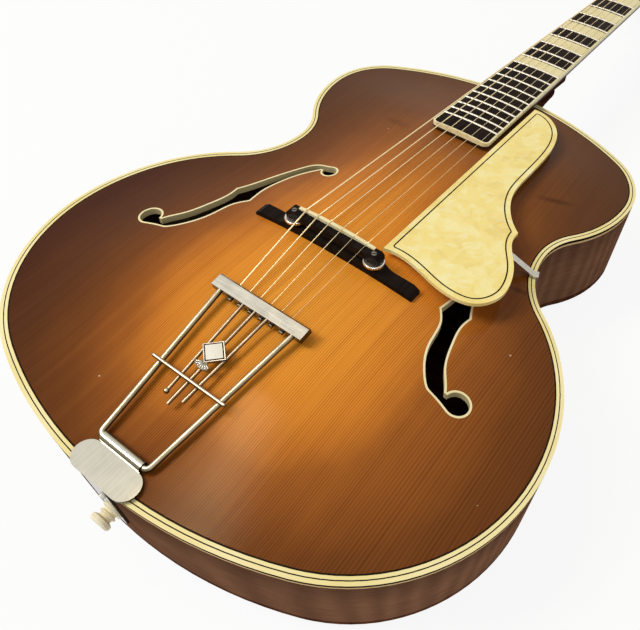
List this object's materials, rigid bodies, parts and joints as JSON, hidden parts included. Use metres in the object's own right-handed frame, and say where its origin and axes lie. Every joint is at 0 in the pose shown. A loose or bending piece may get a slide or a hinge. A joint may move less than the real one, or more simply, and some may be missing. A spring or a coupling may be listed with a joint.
{
  "type": "archtop guitar",
  "caption": "Hollow archtop acoustic guitar with carved arched top, f-holes, floating adjustable bridge, trapeze tailpiece, raised pickguard and geared tuning machines.",
  "frame": {"origin": "Under the saddle line on the centre plane, at the level of the carved back's crown", "axes": "+X to the treble side, +Y along the strings to the headstock, +Z out of the top"},
  "size_m": [0.416, 1.044, 0.1334],
  "materials": {
    "spruce": "gloss lacquer, sunburst",
    "maple": "gloss lacquer, dark reddish brown",
    "inner_spruce": "raw",
    "ebony": "satin black",
    "cream": "aged cream",
    "black_line": "black",
    "pearl": "pearloid",
    "bone": "polished",
    "nickel": "nickel plated",
    "fret_metal": "nickel silver",
    "bronze": "wound bronze",
    "steel": "plain wire"
  },
  "bodies": {
    "guitar": {"back_lining": "inner_spruce", "back_plate": "maple", "body_screws": "nickel", "bridge_base": "ebony", "bridge_studs": "nickel", "end_pin": "cream", "f_hole_bindings": "cream", "fingerboard": "ebony", "fingerboard_binding": "cream", "frets": "fret_metal", "headstock_veneer": "ebony", "heel_cap": "cream", "neck": "maple", "neck_block": "inner_spruce", "nut": "bone", "pickguard": "pearl", "pickguard_block": "black_line", "pickguard_bracket": "nickel", "position_inlays": "pearl", "post_bushings": "nickel", "rim_bass": "maple", "rim_treble": "maple", "strings_plain": "steel", "strings_wound": "bronze", "tail_block": "inner_spruce", "tailpiece_plate": "nickel", "tone_bars": "inner_spruce", "top_binding": "cream", "top_lining": "inner_spruce", "top_plate": "spruce", "top_purfling": "black_line", "tuner_plate_bass": "nickel", "tuner_plate_treble": "nickel", "tuner_screws": "nickel"},
    "knob_1": {"tuner_button_1": "cream", "worm_shaft_1": "nickel"},
    "post_1": {"string_post_1": "nickel"},
    "knob_2": {"tuner_button_2": "cream", "worm_shaft_2": "nickel"},
    "post_2": {"string_post_2": "nickel"},
    "knob_3": {"tuner_button_3": "cream", "worm_shaft_3": "nickel"},
    "post_3": {"string_post_3": "nickel"},
    "knob_4": {"tuner_button_4": "cream", "worm_shaft_4": "nickel"},
    "post_4": {"string_post_4": "nickel"},
    "knob_5": {"tuner_button_5": "cream", "worm_shaft_5": "nickel"},
    "post_5": {"string_post_5": "nickel"},
    "knob_6": {"tuner_button_6": "cream", "worm_shaft_6": "nickel"},
    "post_6": {"string_post_6": "nickel"},
    "saddle": {"bridge_saddle": "ebony", "saddle_insert": "bone"},
    "wheel_bass": {"thumbwheel_bass": "nickel"},
    "wheel_treble": {"thumbwheel_treble": "nickel"},
    "tailpiece": {"tailpiece_frame": "nickel", "tailpiece_bar": "nickel", "tailpiece_rods": "nickel", "tailpiece_badge": "nickel"}
  },
  "joints": [
    {"name": "knob_1_turn", "type": "hinge", "parent": "guitar", "child": "knob_1", "pos_m": [-0.026, 0.69069, 0.04904], "axis": [-1, 0, 0], "continuous": true},
    {"name": "post_1_turn", "type": "hinge", "parent": "guitar", "child": "post_1", "pos_m": [-0.026, 0.6877, 0.07234], "axis": [0, 0.2935, 0.9559], "continuous": true},
    {"name": "knob_2_turn", "type": "hinge", "parent": "guitar", "child": "knob_2", "pos_m": [-0.026, 0.72893, 0.0373], "axis": [-1, 0, 0], "continuous": true},
    {"name": "post_2_turn", "type": "hinge", "parent": "guitar", "child": "post_2", "pos_m": [-0.026, 0.72594, 0.0606], "axis": [0, 0.2935, 0.9559], "continuous": true},
    {"name": "knob_3_turn", "type": "hinge", "parent": "guitar", "child": "knob_3", "pos_m": [-0.026, 0.76717, 0.02555], "axis": [-1, 0, 0], "continuous": true},
    {"name": "post_3_turn", "type": "hinge", "parent": "guitar", "child": "post_3", "pos_m": [-0.026, 0.76418, 0.04886], "axis": [0, 0.2935, 0.9559], "continuous": true},
    {"name": "knob_4_turn", "type": "hinge", "parent": "guitar", "child": "knob_4", "pos_m": [0.026, 0.69069, 0.04904], "axis": [1, 0, 0], "continuous": true},
    {"name": "post_4_turn", "type": "hinge", "parent": "guitar", "child": "post_4", "pos_m": [0.026, 0.6877, 0.07234], "axis": [0, 0.2935, 0.9559], "continuous": true},
    {"name": "knob_5_turn", "type": "hinge", "parent": "guitar", "child": "knob_5", "pos_m": [0.026, 0.72893, 0.0373], "axis": [1, 0, 0], "continuous": true},
    {"name": "post_5_turn", "type": "hinge", "parent": "guitar", "child": "post_5", "pos_m": [0.026, 0.72594, 0.0606], "axis": [0, 0.2935, 0.9559], "continuous": true},
    {"name": "knob_6_turn", "type": "hinge", "parent": "guitar", "child": "knob_6", "pos_m": [0.026, 0.76717, 0.02555], "axis": [1, 0, 0], "continuous": true},
    {"name": "post_6_turn", "type": "hinge", "parent": "guitar", "child": "post_6", "pos_m": [0.026, 0.76418, 0.04886], "axis": [0, 0.2935, 0.9559], "continuous": true},
    {"name": "saddle_lift", "type": "slide", "parent": "guitar", "child": "saddle", "axis": [0, 0, 1], "range_m": [-0.0017, 0.0025], "deforming": ["strings_wound", "strings_plain"]},
    {"name": "wheel_bass_turn", "type": "hinge", "parent": "saddle", "child": "wheel_bass", "pos_m": [-0.0365, -0.004, 0.122], "axis": [0, 0, 1], "range_deg": [-640, 930]},
    {"name": "wheel_treble_turn", "type": "hinge", "parent": "saddle", "child": "wheel_treble", "pos_m": [0.0365, -0.004, 0.122], "axis": [0, 0, 1], "range_deg": [-640, 930]},
    {"name": "tailpiece_swing", "type": "hinge", "parent": "guitar", "child": "tailpiece", "pos_m": [0, -0.1995, 0.1018], "axis": [1, 0, 0], "range_deg": [-0.6, 0.8]}
  ],
  "couplings": [
    {"joint": "post_1_turn", "follows": "knob_1_turn", "ratio": -0.071429},
    {"joint": "post_2_turn", "follows": "knob_2_turn", "ratio": -0.071429},
    {"joint": "post_3_turn", "follows": "knob_3_turn", "ratio": -0.071429},
    {"joint": "post_4_turn", "follows": "knob_4_turn", "ratio": 0.071429},
    {"joint": "post_5_turn", "follows": "knob_5_turn", "ratio": 0.071429},
    {"joint": "post_6_turn", "follows": "knob_6_turn", "ratio": 0.071429},
    {"joint": "wheel_bass_turn", "follows": "saddle_lift", "rad_per_m": 6283.2},
    {"joint": "wheel_treble_turn", "follows": "saddle_lift", "rad_per_m": 6283.2},
    {"joint": "tailpiece_swing", "follows": "saddle_lift", "rad_per_m": 5.0125}
  ]
}
